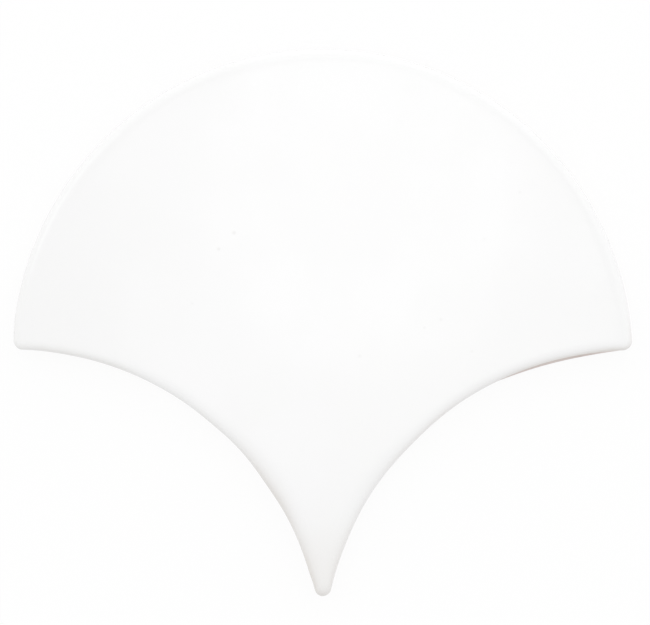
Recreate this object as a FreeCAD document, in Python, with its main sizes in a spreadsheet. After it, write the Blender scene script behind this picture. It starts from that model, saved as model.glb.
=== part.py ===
import FreeCAD, Part
import math
import os
import Sketcher

# Fish scale tile, in millimetres: one pressed and fired piece with three curved sides.
# It lies on its back with the glazed face up. X runs across the shoulders,
# Y from the tip to the top of the arch, and Z = 0 is the back.

DIMENSIONS = {
    "arch_radius": "60.1",    # round upper side
    "shoulder_drop": "58.4",  # top of the arch to the underside of the shoulders
    "tip_drop": "47.6",       # underside of the shoulders to the tip
    "side_spread": "119.7",   # between the centres of the two hollow lower sides
    "shoulder_round": "1.9",  # shoulder corner seen from above
    "tip_round": "1.75",      # tip seen from above
    "thickness": "8",         # back to glazed face
    "edge_round": "2",        # soft edge all round the glazed face
    "foot_bevel": "0.5",      # small bevel all round the back
    "key_border": "6",        # plain margin round the grooves of the back
    "key_corner": "2",        # rounding in the corners of that margin
    "key_depth": "0.6",       # grooves that the adhesive keys into
    "key_width": "3",
    "key_pitch": "7",
}

doc = FreeCAD.newDocument("fish_scale_tile")
sheet = doc.addObject("Spreadsheet::Sheet", "sizes")
for row, (alias, value) in enumerate(DIMENSIONS.items(), start=1):
    sheet.set(f"A{row}", alias)
    sheet.set(f"B{row}", value)
    sheet.setAlias(f"B{row}", alias)
doc.recompute()

# The outline is centred on the origin. Each lower side is the arc that is level
# under its shoulder and runs smoothly into the tip.
TOP_Y = "(sizes.shoulder_drop + sizes.tip_drop) / 2"
ARCH_Y = f"{TOP_Y} - sizes.arch_radius"
SIDE_X = "sizes.side_spread / 2"
SIDE_RADIUS = f"(({SIDE_X})^2 + sizes.tip_drop^2) / (2 * sizes.tip_drop) - sizes.tip_round"
SIDE_Y = f"{TOP_Y} - sizes.shoulder_drop - ({SIDE_RADIUS})"
TIP_RISE = f"{SIDE_RADIUS} + sizes.tip_round - sizes.tip_drop"
KEY_TIP_RISE = f"sqrt(({SIDE_RADIUS} + sizes.key_border + sizes.key_corner)^2 - ({SIDE_X})^2)"

UPWARD = FreeCAD.Vector(0, 0, 1)
START, END, CENTRE = range(1, 4)    # points of an arc in a sketch
ORIGIN, Y_AXIS = range(-1, -3, -1)  # a sketch's own origin and upright axis


def worked_out(expression):
    return float(sheet.evalExpression(expression))


# the crossing of two circles that lies farther from the Y axis
def outer_crossing(first, first_radius, second, second_radius):
    between = second - first
    distance = between.Length
    along = (distance**2 + first_radius**2 - second_radius**2) / (2 * distance)
    aside = math.sqrt(first_radius**2 - along**2)
    direction = between / distance
    foot = first + direction * along
    step = UPWARD.cross(direction) * aside
    return max(foot + step, foot - step, key=lambda point: abs(point.x))


# an arc that runs anticlockwise about its centre between the directions of two points
def sketch_arc(sketch, centre, radius, start, end):
    circle = Part.Circle(centre, UPWARD, radius)
    arc = Part.ArcOfCircle(circle, circle.parameter(start), circle.parameter(end))
    return sketch.addGeometry(arc)


# the three-sided outline, drawn a margin inside the tile's own edge, with the tip's centre
# a rise above the centres of the lower sides
def draw_outline(sketch, margin, shoulder_round, tip_round, tip_rise):
    arch_radius = f"sizes.arch_radius - {margin}"
    side_radius = f"{SIDE_RADIUS} + {margin}"
    arch_length = worked_out(arch_radius)
    side_length = worked_out(side_radius)
    shoulder_length = worked_out(shoulder_round)
    tip_length = worked_out(tip_round)

    arch = FreeCAD.Vector(0, worked_out(ARCH_Y), 0)
    right = FreeCAD.Vector(worked_out(SIDE_X), worked_out(SIDE_Y), 0)
    left = FreeCAD.Vector(-right.x, right.y, 0)
    right_shoulder = outer_crossing(
        arch, arch_length - shoulder_length, right, side_length + shoulder_length
    )
    left_shoulder = FreeCAD.Vector(-right_shoulder.x, right_shoulder.y, 0)
    tip = FreeCAD.Vector(0, right.y + worked_out(tip_rise), 0)

    # in order: over the arch, down the left side, round the tip and up the right side
    arch_arc = sketch_arc(sketch, arch, arch_length, right_shoulder, left_shoulder)
    left_corner = sketch_arc(
        sketch, left_shoulder, shoulder_length, left_shoulder * 2 - arch, left
    )
    left_side = sketch_arc(sketch, left, side_length, tip, left_shoulder)
    tip_arc = sketch_arc(sketch, tip, tip_length, left, right)
    right_side = sketch_arc(sketch, right, side_length, right_shoulder, tip)
    right_corner = sketch_arc(
        sketch, right_shoulder, shoulder_length, right, right_shoulder * 2 - arch
    )

    def constrain(kind, *where):
        return sketch.addConstraint(Sketcher.Constraint(kind, *where))

    def bind(expression, kind, *where):
        constraint = constrain(kind, *where, worked_out(expression))
        sketch.setExpression(f"Constraints[{constraint}]", expression)

    constrain("Tangent", arch_arc, END, left_corner, START)
    constrain("Tangent", left_corner, END, left_side, END)
    constrain("Tangent", left_side, START, tip_arc, START)
    constrain("Tangent", tip_arc, END, right_side, END)
    constrain("Tangent", right_side, START, right_corner, START)
    constrain("Tangent", right_corner, END, arch_arc, START)
    constrain("PointOnObject", arch_arc, CENTRE, Y_AXIS)
    constrain("Symmetric", left_side, CENTRE, right_side, CENTRE, Y_AXIS)
    constrain("Equal", left_side, right_side)
    constrain("Equal", left_corner, right_corner)
    bind(arch_radius, "Radius", arch_arc)
    bind(side_radius, "Radius", right_side)
    bind(shoulder_round, "Radius", right_corner)
    bind(tip_round, "Radius", tip_arc)
    bind(ARCH_Y, "DistanceY", ORIGIN, START, arch_arc, CENTRE)
    bind(SIDE_X, "DistanceX", ORIGIN, START, right_side, CENTRE)
    bind(SIDE_Y, "DistanceY", ORIGIN, START, right_side, CENTRE)


# names of the edges that lie level at one height
def edges_at(feature, height, tolerance=0.001):
    names = []
    for number, edge in enumerate(feature.Shape.Edges, start=1):
        box = edge.BoundBox
        if max(abs(box.ZMin - height), abs(box.ZMax - height)) < tolerance:
            names.append(f"Edge{number}")
    return names


# the pressed blank: outline, soft edge round the face, small bevel round the back
def make_blank():
    body = doc.addObject("PartDesign::Body", "blank")
    ground = next(plane for plane in body.Origin.OriginFeatures if plane.Role == "XY_Plane")
    outline = body.newObject("Sketcher::SketchObject", "outline")
    outline.AttachmentSupport = (ground, "")
    outline.MapMode = "FlatFace"
    draw_outline(outline, "0", "sizes.shoulder_round", "sizes.tip_round", TIP_RISE)

    slab = body.newObject("PartDesign::Pad", "slab")
    slab.Profile = outline
    slab.setExpression("Length", "sizes.thickness")
    doc.recompute()

    soft_edge = body.newObject("PartDesign::Fillet", "soft_edge")
    soft_edge.Base = (slab, edges_at(slab, slab.Length.Value))
    soft_edge.setExpression("Radius", "sizes.edge_round")
    doc.recompute()

    foot = body.newObject("PartDesign::Chamfer", "foot")
    foot.Base = (soft_edge, edges_at(soft_edge, 0))
    foot.setExpression("Size", "sizes.foot_bevel")
    doc.recompute()
    return body


# grooves across the back, ended by a plain margin that follows the outline
def make_keys():
    border = doc.addObject("Sketcher::SketchObject", "border")
    draw_outline(border, "sizes.key_border", "sizes.key_corner", "sizes.key_corner", KEY_TIP_RISE)
    field = doc.addObject("Part::Extrusion", "field")
    field.Base = border
    field.DirMode = "Custom"
    field.Dir = UPWARD
    field.Solid = True
    field.setExpression("LengthFwd", "sizes.key_depth")
    doc.recompute()

    # the middle line stays plain, and the rows follow above and below it while they fit
    extent = border.Shape.BoundBox
    pitch = worked_out("sizes.key_pitch")
    width = worked_out("sizes.key_width")
    lowest = math.ceil((extent.YMin + width) / pitch - 0.5)
    highest = math.floor((extent.YMax - width) / pitch - 0.5)
    bars = []
    for index in range(lowest, highest + 1):
        middle = f"({index} + 0.5) * sizes.key_pitch"
        bar = doc.addObject("Part::Box", "bar")
        bar.setExpression("Length", "2 * sizes.arch_radius")
        bar.setExpression("Width", "sizes.key_width")
        bar.setExpression("Height", "sizes.key_depth")
        bar.setExpression("Placement.Base.x", "-sizes.arch_radius")
        bar.setExpression("Placement.Base.y", f"{middle} - sizes.key_width / 2")
        bars.append(bar)
    rows = doc.addObject("Part::Compound", "rows")
    rows.Links = bars
    keys = doc.addObject("Part::Common", "keys")
    keys.Base = field
    keys.Tool = rows
    doc.recompute()
    return keys


blank = make_blank()
keys = make_keys()
tile = doc.addObject("Part::Cut", "tile")
tile.Label = "fish_scale_tile"
tile.Base = blank
tile.Tool = keys
tile.Placement = FreeCAD.Placement()
doc.recompute()

for item in doc.Objects:
    if {"Invalid", "Error"} & set(item.State):
        raise RuntimeError(f"{item.Label} did not build")
if tile.Shape.isNull() or not tile.Shape.isValid() or len(tile.Shape.Solids) != 1:
    raise RuntimeError("the tile is not one sound solid")
if not math.isclose(blank.Shape.Volume - tile.Shape.Volume, keys.Shape.Volume, rel_tol=0.001):
    raise RuntimeError("the grooves are not cut to their full depth")

os.makedirs("parts", exist_ok=True)
tile.Shape.exportStep(f"parts/{tile.Label}.step")
size = tile.Shape.optimalBoundingBox(False)
print(f"{tile.Label}: {size.XLength:.2f} x {size.YLength:.2f} x {size.ZLength:.2f} mm")
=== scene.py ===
import math
import bpy
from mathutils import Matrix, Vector, geometry, noise


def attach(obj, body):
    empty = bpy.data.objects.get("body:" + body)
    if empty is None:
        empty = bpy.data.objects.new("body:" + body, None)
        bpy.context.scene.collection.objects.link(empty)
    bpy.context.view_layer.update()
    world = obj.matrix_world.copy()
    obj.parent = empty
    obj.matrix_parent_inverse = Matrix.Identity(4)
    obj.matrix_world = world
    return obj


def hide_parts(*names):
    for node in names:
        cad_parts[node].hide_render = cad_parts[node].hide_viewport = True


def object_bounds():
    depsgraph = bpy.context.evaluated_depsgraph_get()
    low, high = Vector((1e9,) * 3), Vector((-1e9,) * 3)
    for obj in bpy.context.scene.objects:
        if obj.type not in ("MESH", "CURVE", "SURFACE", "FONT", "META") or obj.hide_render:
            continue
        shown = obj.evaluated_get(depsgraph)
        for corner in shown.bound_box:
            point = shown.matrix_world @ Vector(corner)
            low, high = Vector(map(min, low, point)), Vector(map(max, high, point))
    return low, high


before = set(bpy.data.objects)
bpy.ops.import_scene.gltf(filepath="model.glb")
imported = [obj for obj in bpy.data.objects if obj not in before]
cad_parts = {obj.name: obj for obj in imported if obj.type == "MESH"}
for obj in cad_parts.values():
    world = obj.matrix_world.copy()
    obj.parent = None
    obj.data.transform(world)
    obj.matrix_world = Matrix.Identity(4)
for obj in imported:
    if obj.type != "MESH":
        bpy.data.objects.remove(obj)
cadBox = [list(corner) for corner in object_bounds()]
topY = cadBox[1][1]        # top of the arch
faceHeight = cadBox[1][2]  # glazed face above the back
print("frame loaded:", cadBox)


# The tile's own shape, in metres
tileShape = {
    "archRadius": 0.0601,       # round upper side
    "shoulderDrop": 0.0584,     # top of the arch to the underside of the shoulders
    "tipDrop": 0.0476,          # underside of the shoulders to the tip
    "sideSpread": 0.1197,       # between the centres of the hollow lower sides
    "shoulderRound": 0.0019,    # corners seen from above
    "tipRound": 0.00175,
    "ridgeRound": 0.0006,       # least rounding of the ridge that runs into each corner
    # soft edge, from the outline to the flat of the face: Y on the tile, reach there
    "edgeReach": [
        (0.008, 0.0026), (-0.006, 0.00205), (-0.016, 0.00225), (-0.034, 0.0031), (-0.053, 0.0029),
    ],
    "edgeSoftness": 2.2,        # 1 is a plain quarter round, more runs out longer
    "faceCrown": 0.00012,       # the face is this much higher in the middle
    "faceWave": 0.000012,       # slow waves in the glaze
    "waveLength": 0.024,
    "glazeThickness": 0.00014,
    "glazeLine": 0.0023,        # where the glaze ends on the sides, above the back
    "glazeRun": 0.0006,         # how far that line wanders
    "runLengths": (0.016, 0.005),     # its slow and quick waves
    "runQuick": 0.4,            # share of the quick ones
    "bareFrom": 0.0318,         # bare clay stands out as a lip under the right shoulder
    "bareTo": 0.0590,
    "bareProud": 0.00060,
    "bareBlunt": 0.65,          # 1 tapers evenly to its ends, less ends more bluntly
    "footProud": 0.6,           # share of the lip that is left at the foot
    # unevenness of the pressed outline: place, reach along it, how far it moves there
    "swells": [
        ((-0.0107, -0.0314), 0.0052, (-0.00018, -0.00012)),
        ((-0.0216, -0.0194), 0.0048, (-0.00008, -0.00010)),
        ((-0.0440, -0.0076), 0.0120, (0.00003, 0.00011)),
        ((-0.0565, -0.0055), 0.0050, (0.00001, 0.00017)),
        ((-0.0598, -0.0042), 0.0026, (0.00020, 0.00004)),
        ((0.0176, -0.0231), 0.0080, (0.00017, -0.00017)),
        ((0.0048, -0.0420), 0.0050, (0.00006, -0.00003)),
        ((-0.0017, -0.0513), 0.0019, (0.00022, 0.00005)),
        ((0.0570, -0.0055), 0.0040, (0, 0.00007)),
    ],
    # clay tint of the thin glaze on the arris, strengthened as painted shade along the lower sides
    # and the tip; the lit arch gets little of it
    "edgeThinAndShade": 0.16,           # how far the clay shows through the glaze on the arris, with painted shade on the lower sides
    "archThinUnshaded": 0.03,
    "tipThinAndShade": 0.30,
    "thinWidth": 0.0008,        # of that arris
    "patchLengths": (0.009, 0.003),   # broad and small patches along it
    "patchShares": (0.6, 0.5, 0.35),  # even part, broad patches, small patches
    "tipFrom": -0.020,          # the glaze thins, with painted shade, from here down to the tip
    "tipPaintedShade": 0.18,            # painted shade, darker all over the tip itself
    "tipShadeFrom": 0.5,            # share of the way down where that begins
    "tipShadeOver": 0.35,           # and over which it grows
    # stretches of the edge with painted shade, or painted light where below 0: place, reach, width,
    # how much
    "paintedEdgeShadeAndLight": [
        ((-0.0100, -0.0335), 0.010, 0.0018, 0.28),
        ((-0.0030, -0.0490), 0.006, 0.0018, 0.10),
        ((0.0030, -0.0490), 0.006, 0.0018, -0.10),
        ((0.0205, -0.0203), 0.009, 0.0005, 0.14),
        ((0.0570, -0.0052), 0.0042, 0.0006, 0.36),
        ((-0.0300, -0.0135), 0.009, 0.0018, -0.07),
        ((-0.0520, -0.0060), 0.009, 0.0018, 0.04),
    ],
    "lipThinAndShade": 0.30,            # clay shows just above the bare lip, darkened further as painted shade
    "lipWidth": 0.00035,
    "wallLevels": (0.4, 0.75),  # rings between the glaze line and the soft edge
    "footBevel": 0.0005,
    "keyBorder": 0.006,         # plain margin of the back
    "keyDepth": 0.0006,         # grooves in the back
    "keyWidth": 0.003,
    "keyPitch": 0.007,
    "keyDraft": 0.0002,         # lean of the groove walls
    "sharpAngle": 40,           # degrees, edges that bend more stay sharp
}

archCentre = Vector((0, topY - tileShape["archRadius"]))
sideX = tileShape["sideSpread"] / 2
sideRadius = (sideX**2 + tileShape["tipDrop"]**2) / (2 * tileShape["tipDrop"]) - tileShape["tipRound"]
sideY = topY - tileShape["shoulderDrop"] - sideRadius
rightCentre = Vector((sideX, sideY))
leftCentre = Vector((-sideX, sideY))
# radius of the largest circle inside the outline
rise = topY - sideY
inscribed = (sideX**2 + rise**2 - sideRadius**2) / (2 * (sideRadius + rise))

arcSteps = {"arch": 160, "side": 84, "shoulder": 10, "tip": 16}
meshSteps = {"softEdge": 20, "edgeCurve": 40, "face": 34, "grooveEnd": 8}
waveSeeds = {"face": 3.7, "slowRun": 8.1, "quickRun": 2.6, "broadPatch": 5.2, "smallPatch": 1.4}
nearArch = 0.0005  # a point closer than this counts as on the arc
nearSide = 0.0015


def angleOf(fromPoint, toPoint):
    step = toPoint - fromPoint
    return math.atan2(step.y, step.x)


def arcPoints(centre, radius, startAngle, turn, steps):
    points = []
    for step in range(steps):
        angle = startAngle + turn * step / steps
        points.append(centre + radius * Vector((math.cos(angle), math.sin(angle))))
    return points


def outerCrossing(first, firstRadius, second, secondRadius):  # of two circles, on the right
    between = second - first
    distance = between.length
    along = (distance**2 + firstRadius**2 - secondRadius**2) / (2 * distance)
    aside = math.sqrt(firstRadius**2 - along**2)
    unit = between / distance
    foot = first + unit * along
    normal = Vector((-unit.y, unit.x)) * aside
    return max(foot + normal, foot - normal, key=lambda point: point.x)


def cornerRound(outerRound, inset):  # shrinks with the inset, then opens out again
    least = tileShape["ridgeRound"]
    start = math.sqrt(outerRound**2 - least**2)
    return min(math.hypot(start - inset, least), (inscribed - inset) / 2)


def outlineAt(inset):  # anticlockwise from the right shoulder, an inset inside the edge
    archReach = tileShape["archRadius"] - inset
    sideReach = sideRadius + inset
    shoulderRound = cornerRound(tileShape["shoulderRound"], inset)
    tipRound = cornerRound(tileShape["tipRound"], inset)
    rightShoulder = outerCrossing(
        archCentre, archReach - shoulderRound, rightCentre, sideReach + shoulderRound
    )
    leftShoulder = Vector((-rightShoulder.x, rightShoulder.y))
    tip = Vector((0, sideY + math.sqrt((sideReach + tipRound)**2 - sideX**2)))

    archStart = angleOf(archCentre, rightShoulder)
    cornerTurn = angleOf(leftShoulder, leftCentre) % math.tau - (math.pi - archStart)
    sideTop = angleOf(leftCentre, leftShoulder)
    sideFoot = angleOf(leftCentre, tip)
    points = arcPoints(archCentre, archReach, archStart, math.pi - 2 * archStart, arcSteps["arch"])
    points += arcPoints(
        leftShoulder, shoulderRound, math.pi - archStart, cornerTurn, arcSteps["shoulder"]
    )
    points += arcPoints(leftCentre, sideReach, sideTop, sideFoot - sideTop, arcSteps["side"])
    points += arcPoints(tip, tipRound, math.pi + sideFoot, math.pi - 2 * sideFoot, arcSteps["tip"])
    points += arcPoints(
        rightCentre, sideReach, math.pi - sideFoot, sideFoot - sideTop, arcSteps["side"]
    )
    points += arcPoints(
        rightShoulder, shoulderRound, archStart - cornerTurn, cornerTurn, arcSteps["shoulder"]
    )
    return points


def smooth(share):  # eases in and out between 0 and 1
    share = min(1, max(0, share))
    return share**2 * (3 - 2 * share)


def edgeReachAt(point):
    stops = tileShape["edgeReach"]
    reach = stops[0][1]
    for (upper, before), (lower, after) in zip(stops, stops[1:]):
        reach += (after - before) * smooth((upper - point.y) / (upper - lower))
    return reach


def edgeDrop(point, inset):  # of the soft edge below the face, upright at the outline
    reach = edgeReachAt(point)
    if inset >= reach:
        return 0
    power = 1 / tileShape["edgeSoftness"]
    tilt = math.asin((1 - inset / reach)**(1 / power))
    steps = meshSteps["edgeCurve"]
    total = 0
    for step in range(steps):
        total += math.sin(tilt * (step + 0.5) / steps)**power
    return reach * power * total * tilt / steps


def slowWave(point, length, seed):
    return noise.noise(Vector((point.x / length, point.y / length, seed)))


def faceLift(point):  # crown and slow waves of the glazed face
    away = (point - Vector((0, topY - inscribed))).length / tileShape["archRadius"]
    wave = slowWave(point, tileShape["waveLength"], waveSeeds["face"])
    return tileShape["faceWave"] * wave - tileShape["faceCrown"] * away**2


def glazeLineAt(point):
    slowLength, quickLength = tileShape["runLengths"]
    slow = slowWave(point, slowLength, waveSeeds["slowRun"])
    quick = slowWave(point, quickLength, waveSeeds["quickRun"])
    return tileShape["glazeLine"] + tileShape["glazeRun"] * (slow + tileShape["runQuick"] * quick)


def bareAt(point):  # 1 in the middle of the bare stretch under the right shoulder
    middle = (tileShape["bareFrom"] + tileShape["bareTo"]) / 2
    half = (tileShape["bareTo"] - tileShape["bareFrom"]) / 2
    onSide = abs((point - rightCentre).length - sideRadius) < nearSide
    along = 1 - ((point.x - middle) / half)**2
    return along**tileShape["bareBlunt"] if onSide and along > 0 else 0


def outwardFrom(point):  # square to the lower side
    return ((rightCentre if point.x > 0 else leftCentre) - point).normalized()


def swellAt(point):
    total = Vector((0, 0))
    for place, reach, shift in tileShape["swells"]:
        away = (point - Vector(place)).length / reach
        total += Vector(shift) * math.exp(-away**2)
    return total


def thinAndShadeAt(point, inset):  # how far the clay shows through the glaze, with painted shade and light, most along the lower sides
    onArch = abs((point - archCentre).length + inset - tileShape["archRadius"]) < nearArch
    downTip = min(1, max(0, (point.y - tileShape["tipFrom"]) / (-topY - tileShape["tipFrom"])))
    level = tileShape["edgeThinAndShade"] + (tileShape["tipThinAndShade"] - tileShape["edgeThinAndShade"]) * downTip
    even, broadShare, smallShare = tileShape["patchShares"]
    broadLength, smallLength = tileShape["patchLengths"]
    broad = slowWave(point, broadLength, waveSeeds["broadPatch"])
    small = slowWave(point, smallLength, waveSeeds["smallPatch"])
    patches = even + broadShare * broad + smallShare * small
    edge = math.exp(-(inset / tileShape["thinWidth"])**2)
    showing = edge * (tileShape["archThinUnshaded"] if onArch else level) * max(0, patches)
    # painted shade and painted light along chosen stretches of the edge
    for place, reach, width, more in tileShape["paintedEdgeShadeAndLight"]:
        away = (point - Vector(place)).length / reach
        showing += more * math.exp(-away**2 - (inset / width)**2)
    # painted shade just above the bare lip, partly clay showing
    showing += tileShape["lipThinAndShade"] * bareAt(point) * math.exp(-(inset / tileShape["lipWidth"])**2)
    # painted shade darkening the tip
    tipShade = smooth((downTip - tileShape["tipShadeFrom"]) / tileShape["tipShadeOver"])
    return max(0, showing + tileShape["tipPaintedShade"] * tipShade)


# share of the way up from the foot to the glaze line, and how far the bare lip stands out there
lipSteps = ((0, 0.85), (0.35, 1), (0.72, 0.96), (0.9, 0.55), (0.98, 0.06))
# share of the glaze's thickness still missing, and the height above the glaze line
glazeBead = ((0.9, 0), (0.45, 0.00005), (0.12, 0.00018), (0, 0.0004))


def tileRings():  # from the foot up the sides and over the face
    skin = tileShape["glazeThickness"]
    foot = tileShape["footBevel"]
    rings = []

    def addRing(inset, heightOf, covered, proud=0):
        ring = []
        thinAndShade = []
        for point in outlineAt(inset):
            lip = proud * (tileShape["bareProud"] + skin) * bareAt(point)
            moved = point + swellAt(point) + outwardFrom(point) * lip
            ring.append(Vector((moved.x, moved.y, heightOf(point))))
            thinAndShade.append(thinAndShadeAt(point, inset))
        rings.append({"points": ring, "covered": covered, "thinAndShade": thinAndShade})

    def wallTop(point):
        return faceHeight - edgeDrop(point, 0)

    addRing(foot + skin, lambda point: 0, "biscuit", tileShape["footProud"])
    for share, proud in lipSteps:
        addRing(skin, lambda point: foot + (glazeLineAt(point) - foot) * share, "biscuit", proud)
    for share, above in glazeBead:
        addRing(skin * share, lambda point: glazeLineAt(point) + above, "glaze")
    for share in tileShape["wallLevels"]:
        addRing(0, lambda point: glazeLineAt(point) * (1 - share) + wallTop(point) * share, "glaze")
    widest = max(reach for level, reach in tileShape["edgeReach"])
    edgeSteps = meshSteps["softEdge"]
    for step in range(edgeSteps, -1, -1):
        flat = math.sin(math.pi / 2 * step / edgeSteps)**(1 / tileShape["edgeSoftness"])
        inset = widest * (1 - flat)
        addRing(inset, lambda point: faceHeight - edgeDrop(point, inset) + faceLift(point), "glaze")
    faceSteps = meshSteps["face"]
    for step in range(1, faceSteps):
        inset = widest + (inscribed - widest) * step / faceSteps
        addRing(inset, lambda point: faceHeight + faceLift(point), "glaze")
    return rings


def halfWidthAt(y, inset):  # of the outline at one level
    reach = tileShape["archRadius"] - inset
    width = math.sqrt(reach**2 - (y - archCentre.y)**2)
    sideReach = sideRadius + inset
    if y < sideY + sideReach:
        width = min(width, sideX - math.sqrt(sideReach**2 - (y - sideY)**2))
    return width


def keyGrooves():  # (mouth, floor) outlines of the grooves in the back
    pitch = tileShape["keyPitch"]
    width = tileShape["keyWidth"]
    border = tileShape["keyBorder"]
    endSteps = meshSteps["grooveEnd"]
    lowest = sideY + math.sqrt((sideRadius + border)**2 - sideX**2)
    highest = topY - border
    grooves = []
    row = math.ceil((lowest + width) / pitch - 0.5)
    while (row + 0.5) * pitch < highest - width:
        loops = []
        for draft in (0, tileShape["keyDraft"]):
            right = []
            for step in range(endSteps + 1):
                level = (row + 0.5) * pitch + (width - 2 * draft) * (step / endSteps - 0.5)
                right.append(Vector((halfWidthAt(level, border) - draft, level)))
            left = [Vector((-point.x, point.y)) for point in reversed(right)]
            loops.append(right + left)
        grooves.append(loops)
        row += 1
    return grooves


def buildTile():
    rings = tileRings()
    around = len(rings[0]["points"])
    points = [point for ring in rings for point in ring["points"]]
    thinAndShade = [value for ring in rings for value in ring["thinAndShade"]]
    faces = []
    coverings = []
    for index in range(1, len(rings)):
        lower = (index - 1) * around
        upper = index * around
        for step in range(around):
            following = (step + 1) % around
            faces.append((lower + step, lower + following, upper + following, upper + step))
            coverings.append(rings[index]["covered"])

    # the middle of the face closes on one point
    last = (len(rings) - 1) * around
    middle = Vector((0, topY - inscribed))
    points.append(Vector((middle.x, middle.y, faceHeight + faceLift(middle))))
    for step in range(around):
        faces.append((last + step, last + (step + 1) % around, len(points) - 1))
        coverings.append("glaze")

    # the back: a flat field round the mouths of the grooves, then their walls and floors
    flat = [point.to_2d() for point in rings[0]["points"]]
    loops = [list(range(around))]
    index2d = list(range(around))
    floors = []
    for mouth, floor in keyGrooves():
        loops.append(list(range(len(flat), len(flat) + len(mouth))))
        flat += mouth
        index2d += range(len(points), len(points) + len(mouth))
        points += [Vector((point.x, point.y, 0)) for point in mouth]
        floorStart = len(points)
        points += [Vector((point.x, point.y, tileShape["keyDepth"])) for point in floor]
        floors.append(floorStart)
        mouthStart = floorStart - len(mouth)
        for step in range(len(mouth)):
            following = (step + 1) % len(mouth)
            faces.append(
                (mouthStart + following, mouthStart + step, floorStart + step, floorStart + following)
            )
            coverings.append("biscuit")
        faces.append(tuple(floorStart + step for step in reversed(range(len(floor)))))
        coverings.append("biscuit")
    insideOnly = 1
    weldDistance = 1e-7
    filled = geometry.delaunay_2d_cdt(flat, [], loops, insideOnly, weldDistance)
    _, _, triangles, pointSources, _, faceSources = filled
    for triangle, owners in zip(triangles, faceSources):
        if owners == [0]:  # in the field and not in the mouth of a groove
            corners = [pointSources[corner][0] for corner in triangle]
            faces.append(tuple(index2d[corner] for corner in reversed(corners)))
            coverings.append("biscuit")

    mesh = bpy.data.meshes.new("fishScaleTile")
    mesh.from_pydata([tuple(point) for point in points], [], faces)
    mesh.validate()
    mesh.shade_smooth()
    mesh.set_sharp_from_angle(angle=math.radians(tileShape["sharpAngle"]))
    # per point: clay through the thin glaze, plus painted shade and light
    thinGlazeAndShade = mesh.attributes.new("thinGlazeAndShade", "FLOAT", "POINT")
    thinGlazeAndShade.data.foreach_set("value", thinAndShade + [0] * (len(points) - len(thinAndShade)))
    tile = bpy.data.objects.new("fishScaleTile", mesh)
    bpy.context.scene.collection.objects.link(tile)
    return tile, coverings


tile, coverings = buildTile()
print("tile built:", len(tile.data.polygons), "faces")


# Materials
glazeLook = {
    "colour": (0.937, 0.937, 0.937),
    "cloudColour": (0.930, 0.930, 0.928),  # slow clouds where the glaze lies thinner
    "cloudSize": 0.022,
    "cloudSpread": (0.35, 0.65),           # of the noise, from no cloud to full cloud
    "clayAndShadeColour": (0.69, 0.635, 0.575),    # seen through the thin glaze of the edge, and the colour of the painted edge shade
    "speckColour": (0.60, 0.59, 0.57),
    "gloss": (0.07, 0.12),                 # roughness, least and most
    "smearSize": 0.011,                    # slow changes of that roughness
    "smearSpread": (0.3, 0.7),
    "refraction": 1.52,
    "peelSize": 0.0016,                    # faint orange peel
    "peelHeight": 0.000004,
    "peelStrength": 0.5,
    # place on the face, radius and strength of each pinhole and iron speck
    "specks": [
        (-0.01705, 0.01740, 0.00060, 0.24),
        (-0.02005, 0.01425, 0.00055, 0.20),
        (0.01975, -0.00095, 0.00045, 0.12),
        (0.02292, 0.00063, 0.00050, 0.13),
        (0.00721, -0.00645, 0.00055, 0.12),
        (0.03135, 0.01624, 0.00045, 0.09),
        (0.02893, -0.00557, 0.00045, 0.10),
        (-0.02516, 0.00373, 0.00045, 0.09),
        (0.03823, 0.02525, 0.00050, 0.10),
    ],
}

clayLook = {
    "colour": (0.80, 0.72, 0.69),
    "darkColour": (0.70, 0.61, 0.575),
    "grogColour": (0.52, 0.43, 0.39),      # scattered coarse grains
    "cloudSize": 0.012,
    "cloudSpread": (0.3, 0.72),
    "grainSize": 0.0007,
    "grainHeight": 0.00008,
    "grainStrength": 0.6,
    "grogSpread": (0.62, 0.74),            # only the peaks of the grain
    "grogShare": 0.55,
    "roughness": (0.82, 0.95),
    "roughSpread": (0.3, 0.7),
}


def newMaterial(name):
    material = bpy.data.materials.new(name)
    material.use_nodes = True
    nodes = material.node_tree.nodes
    return material, nodes, material.node_tree.links, nodes["Principled BSDF"]


def placeOn(nodes):  # places on the object itself, in metres
    return nodes.new("ShaderNodeTexCoord").outputs["Object"]


def addNoise(nodes, links, place, size, detail):
    noiseNode = nodes.new("ShaderNodeTexNoise")
    noiseNode.inputs["Scale"].default_value = 1 / size
    noiseNode.inputs["Detail"].default_value = detail
    links.new(place, noiseNode.inputs["Vector"])
    return noiseNode.outputs["Fac"]


def addRange(nodes, links, value, low, high, toLow, toHigh):
    spread = nodes.new("ShaderNodeMapRange")
    spread.interpolation_type = "SMOOTHSTEP"
    spread.inputs["From Min"].default_value = low
    spread.inputs["From Max"].default_value = high
    spread.inputs["To Min"].default_value = toLow
    spread.inputs["To Max"].default_value = toHigh
    links.new(value, spread.inputs["Value"])
    return spread.outputs["Result"]


def addBlend(nodes, links, share, first, second):
    blend = nodes.new("ShaderNodeMix")
    blend.data_type = "RGBA"
    links.new(share, blend.inputs["Factor"])
    for socket, colour in ((blend.inputs[6], first), (blend.inputs[7], second)):  # its colour sockets
        if isinstance(colour, tuple):
            socket.default_value = colour + (1,)
        else:
            links.new(colour, socket)
    return blend.outputs[2]


def addBump(nodes, links, height, distance, strength):
    bump = nodes.new("ShaderNodeBump")
    bump.inputs["Distance"].default_value = distance
    bump.inputs["Strength"].default_value = strength
    links.new(height, bump.inputs["Height"])
    return bump.outputs["Normal"]


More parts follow.
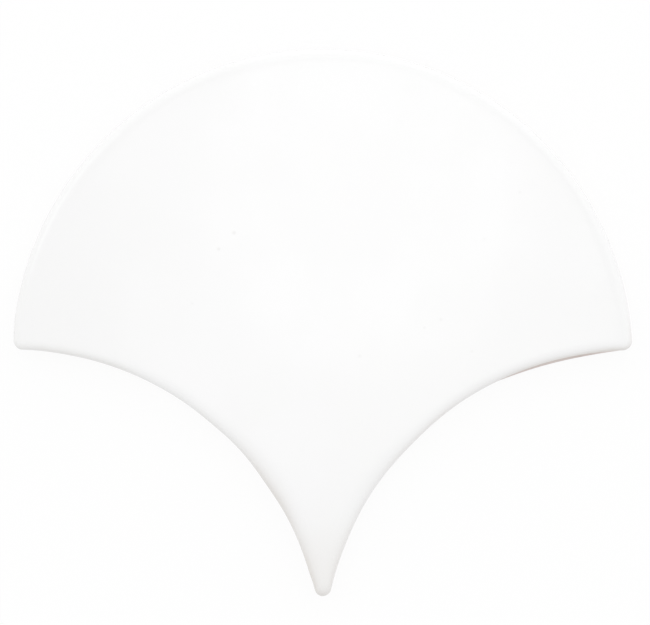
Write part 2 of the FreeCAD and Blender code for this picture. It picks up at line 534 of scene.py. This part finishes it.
def addSpecks(nodes, links, place):
    total = None
    for x, y, radius, strength in glazeLook["specks"]:
        away = nodes.new("ShaderNodeVectorMath")
        away.operation = "DISTANCE"
        away.inputs[1].default_value = (x, y, faceHeight + faceLift(Vector((x, y))))
        links.new(place, away.inputs[0])
        speck = addRange(nodes, links, away.outputs["Value"], 0, radius, strength, 0)
        if total is None:
            total = speck
            continue
        larger = nodes.new("ShaderNodeMath")
        larger.operation = "MAXIMUM"
        links.new(total, larger.inputs[0])
        links.new(speck, larger.inputs[1])
        total = larger.outputs[0]
    return total


def whiteGlaze():
    material, nodes, links, shader = newMaterial("whiteGlaze")
    place = placeOn(nodes)
    cloud = addNoise(nodes, links, place, glazeLook["cloudSize"], detail=3)
    colour = addBlend(
        nodes, links, addRange(nodes, links, cloud, *glazeLook["cloudSpread"], 0, 1),
        glazeLook["colour"], glazeLook["cloudColour"],
    )
    # clay tint of the thin glaze, mixed with painted edge shade and light
    thinAndShade = nodes.new("ShaderNodeAttribute")
    thinAndShade.attribute_name = "thinGlazeAndShade"
    colour = addBlend(nodes, links, thinAndShade.outputs["Fac"], colour, glazeLook["clayAndShadeColour"])
    specks = addSpecks(nodes, links, place)
    colour = addBlend(nodes, links, specks, colour, glazeLook["speckColour"])
    links.new(colour, shader.inputs["Base Color"])
    smear = addNoise(nodes, links, place, glazeLook["smearSize"], detail=2)
    rough = addRange(nodes, links, smear, *glazeLook["smearSpread"], *glazeLook["gloss"])
    links.new(rough, shader.inputs["Roughness"])
    peel = addNoise(nodes, links, place, glazeLook["peelSize"], detail=1)
    bump = addBump(nodes, links, peel, glazeLook["peelHeight"], glazeLook["peelStrength"])
    links.new(bump, shader.inputs["Normal"])
    shader.inputs["IOR"].default_value = glazeLook["refraction"]
    return material


def paleBiscuit():
    material, nodes, links, shader = newMaterial("paleBiscuit")
    place = placeOn(nodes)
    cloud = addNoise(nodes, links, place, clayLook["cloudSize"], detail=4)
    colour = addBlend(
        nodes, links, addRange(nodes, links, cloud, *clayLook["cloudSpread"], 0, 1),
        clayLook["colour"], clayLook["darkColour"],
    )
    grain = addNoise(nodes, links, place, clayLook["grainSize"], detail=3)
    grog = addRange(nodes, links, grain, *clayLook["grogSpread"], 0, clayLook["grogShare"])
    colour = addBlend(nodes, links, grog, colour, clayLook["grogColour"])
    links.new(colour, shader.inputs["Base Color"])
    rough = addRange(nodes, links, cloud, *clayLook["roughSpread"], *clayLook["roughness"])
    links.new(rough, shader.inputs["Roughness"])
    bump = addBump(nodes, links, grain, clayLook["grainHeight"], clayLook["grainStrength"])
    links.new(bump, shader.inputs["Normal"])
    return material


tile.data.materials.append(whiteGlaze())
tile.data.materials.append(paleBiscuit())
slotOf = {"glaze": 0, "biscuit": 1}
for polygon, covering in zip(tile.data.polygons, coverings):
    polygon.material_index = slotOf[covering]
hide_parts("fish_scale_tile")
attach(tile, "root")
print("tile dressed")


# Floor, light and camera
studio = {
    "floorHalf": 3.0,         # from the middle of the floor to its edge
    "floorColour": 0.97,
    "floorGlow": 0.92,        # share of plain white that the camera sees in the floor
    "floorBounce": 0.80,      # share of its light that the floor throws back on the tile
    "skyLevel": 0.797,        # soft light from all round
    "skyRise": 0.586,         # added towards the horizon beyond the arch
    # place, aim, size (across, up), shape and radiance of each lamp
    "lamps": {
        "topLamp": ((0.02, 0.125, 0.25), (0, 0.01, 0.008), (0.12, 0.08), "RECTANGLE", 0.50),
        "leftLamp": ((-0.167, 0.0964, 0.2298), (0, 0.01, 0.008), (0.11, 0.08), "RECTANGLE", 0.73),
        "rightLamp": ((0.1748, 0.0815, 0.2298), (0, 0.01, 0.008), (0.14, 0.12), "RECTANGLE", 0.095),
        "overhead": ((0.0212, 0.064, 0.9), (0.0212, 0.064, 0), (0.152, 0.188), "ELLIPSE", 0.643),
        "overheadRim": ((0.0216, 0.056, 0.93), (0.0216, 0.056, 0), (0.265, 0.2955), "ELLIPSE", 0.643),
    },
    # low lamps for the edge at the ends of the arch, kept out of the gloss
    "fillLamps": {
        "leftFill": ((-0.36, 0.08, 0.10), (-0.04, 0.01, 0.006), (0.20, 0.10), "RECTANGLE", 0.435),
        "rightFill": ((0.36, 0.08, 0.10), (0.04, 0.01, 0.006), (0.20, 0.10), "RECTANGLE", 1.13),
    },
}


def addFloor():
    mesh = bpy.data.meshes.new("floor")
    half = studio["floorHalf"]
    corners = [(-half, -half, 0), (half, -half, 0), (half, half, 0), (-half, half, 0)]
    mesh.from_pydata(corners, [], [(0, 1, 2, 3)])
    floor = bpy.data.objects.new("floor", mesh)
    bpy.context.scene.collection.objects.link(floor)
    material, nodes, links, shader = newMaterial("whiteFloor")
    shader.inputs["Base Color"].default_value = (studio["floorColour"],) * 3 + (1,)
    shader.inputs["Roughness"].default_value = 1.0
    shader.inputs["Specular IOR Level"].default_value = 0.0
    glow = nodes.new("ShaderNodeEmission")
    glow.inputs["Strength"].default_value = 1.0
    washed = nodes.new("ShaderNodeMixShader")
    washed.inputs["Fac"].default_value = studio["floorGlow"]
    links.new(shader.outputs[0], washed.inputs[1])
    links.new(glow.outputs[0], washed.inputs[2])
    bounce = nodes.new("ShaderNodeBsdfDiffuse")
    bounce.inputs["Color"].default_value = (studio["floorBounce"],) * 3 + (1,)
    seen = nodes.new("ShaderNodeMixShader")
    links.new(seenDirectly(nodes, links), seen.inputs["Fac"])
    links.new(bounce.outputs[0], seen.inputs[1])
    links.new(washed.outputs[0], seen.inputs[2])
    links.new(seen.outputs[0], nodes["Material Output"].inputs["Surface"])
    mesh.materials.append(material)


def seenDirectly(nodes, links):  # 1 for what the camera sees, also in gloss or through glass
    path = nodes.new("ShaderNodeLightPath")
    total = path.outputs["Is Camera Ray"]
    for ray in ("Is Glossy Ray", "Is Transmission Ray"):
        either = nodes.new("ShaderNodeMath")
        either.operation = "MAXIMUM"
        links.new(total, either.inputs[0])
        links.new(path.outputs[ray], either.inputs[1])
        total = either.outputs[0]
    return total


def addWorld():
    world = bpy.data.worlds.new("studio")
    bpy.context.scene.world = world
    world.use_nodes = True
    nodes = world.node_tree.nodes
    links = world.node_tree.links
    backdrop = nodes["Background"]
    backdrop.inputs["Color"].default_value = (1, 1, 1, 1)
    backdrop.inputs["Strength"].default_value = 1.0
    sky = nodes.new("ShaderNodeBackground")
    sky.inputs["Color"].default_value = (1, 1, 1, 1)
    place = nodes.new("ShaderNodeTexCoord")
    split = nodes.new("ShaderNodeSeparateXYZ")
    links.new(place.outputs["Generated"], split.inputs[0])
    level = nodes.new("ShaderNodeMapRange")
    level.inputs["To Min"].default_value = studio["skyLevel"]
    level.inputs["To Max"].default_value = studio["skyLevel"] + studio["skyRise"]
    links.new(split.outputs["Y"], level.inputs["Value"])
    links.new(level.outputs["Result"], sky.inputs["Strength"])
    mix = nodes.new("ShaderNodeMixShader")
    links.new(seenDirectly(nodes, links), mix.inputs["Fac"])
    links.new(sky.outputs[0], mix.inputs[1])
    links.new(backdrop.outputs[0], mix.inputs[2])
    links.new(mix.outputs[0], nodes["World Output"].inputs["Surface"])


def addLamp(name, place, aim, size, shape, radiance, inGloss):
    lamp = bpy.data.lights.new(name, "AREA")
    lamp.shape = shape
    lamp.size, lamp.size_y = size
    area = size[0] * size[1] * (math.pi / 4 if shape == "ELLIPSE" else 1)
    lamp.energy = radiance * math.pi * area
    holder = bpy.data.objects.new(name, lamp)
    holder.location = place
    holder.rotation_euler = (Vector(aim) - Vector(place)).to_track_quat("-Z", "Y").to_euler()
    holder.visible_camera = False
    holder.visible_glossy = inGloss
    bpy.context.scene.collection.objects.link(holder)


cameraView = {
    "frameWidth": 650,           # pixels
    "frameHeight": 625,
    "pixelsPerMetre": 5158,      # at the level of the soft edge
    "tileMiddle": (322.3, 322.75),
    "edgeLevel": 0.006,
    "distance": 0.7,
    "sensorWidth": 36,           # millimetres
}


def addCamera():
    scale = cameraView["pixelsPerMetre"]
    camera = bpy.data.cameras.new("camera")
    camera.sensor_width = cameraView["sensorWidth"]
    camera.sensor_fit = "HORIZONTAL"
    camera.lens = camera.sensor_width * cameraView["distance"] * scale / cameraView["frameWidth"]
    holder = bpy.data.objects.new("camera", camera)
    holder.location = (
        (cameraView["frameWidth"] / 2 - cameraView["tileMiddle"][0]) / scale,
        (cameraView["tileMiddle"][1] - cameraView["frameHeight"] / 2) / scale,
        cameraView["edgeLevel"] + cameraView["distance"],
    )
    bpy.context.scene.collection.objects.link(holder)
    bpy.context.scene.camera = holder


addFloor()
addWorld()
for name, setting in studio["lamps"].items():
    addLamp(name, *setting, inGloss=True)
for name, setting in studio["fillLamps"].items():
    addLamp(name, *setting, inGloss=False)
addCamera()
bpy.context.scene.view_settings.view_transform = "Standard"
print("stage set")
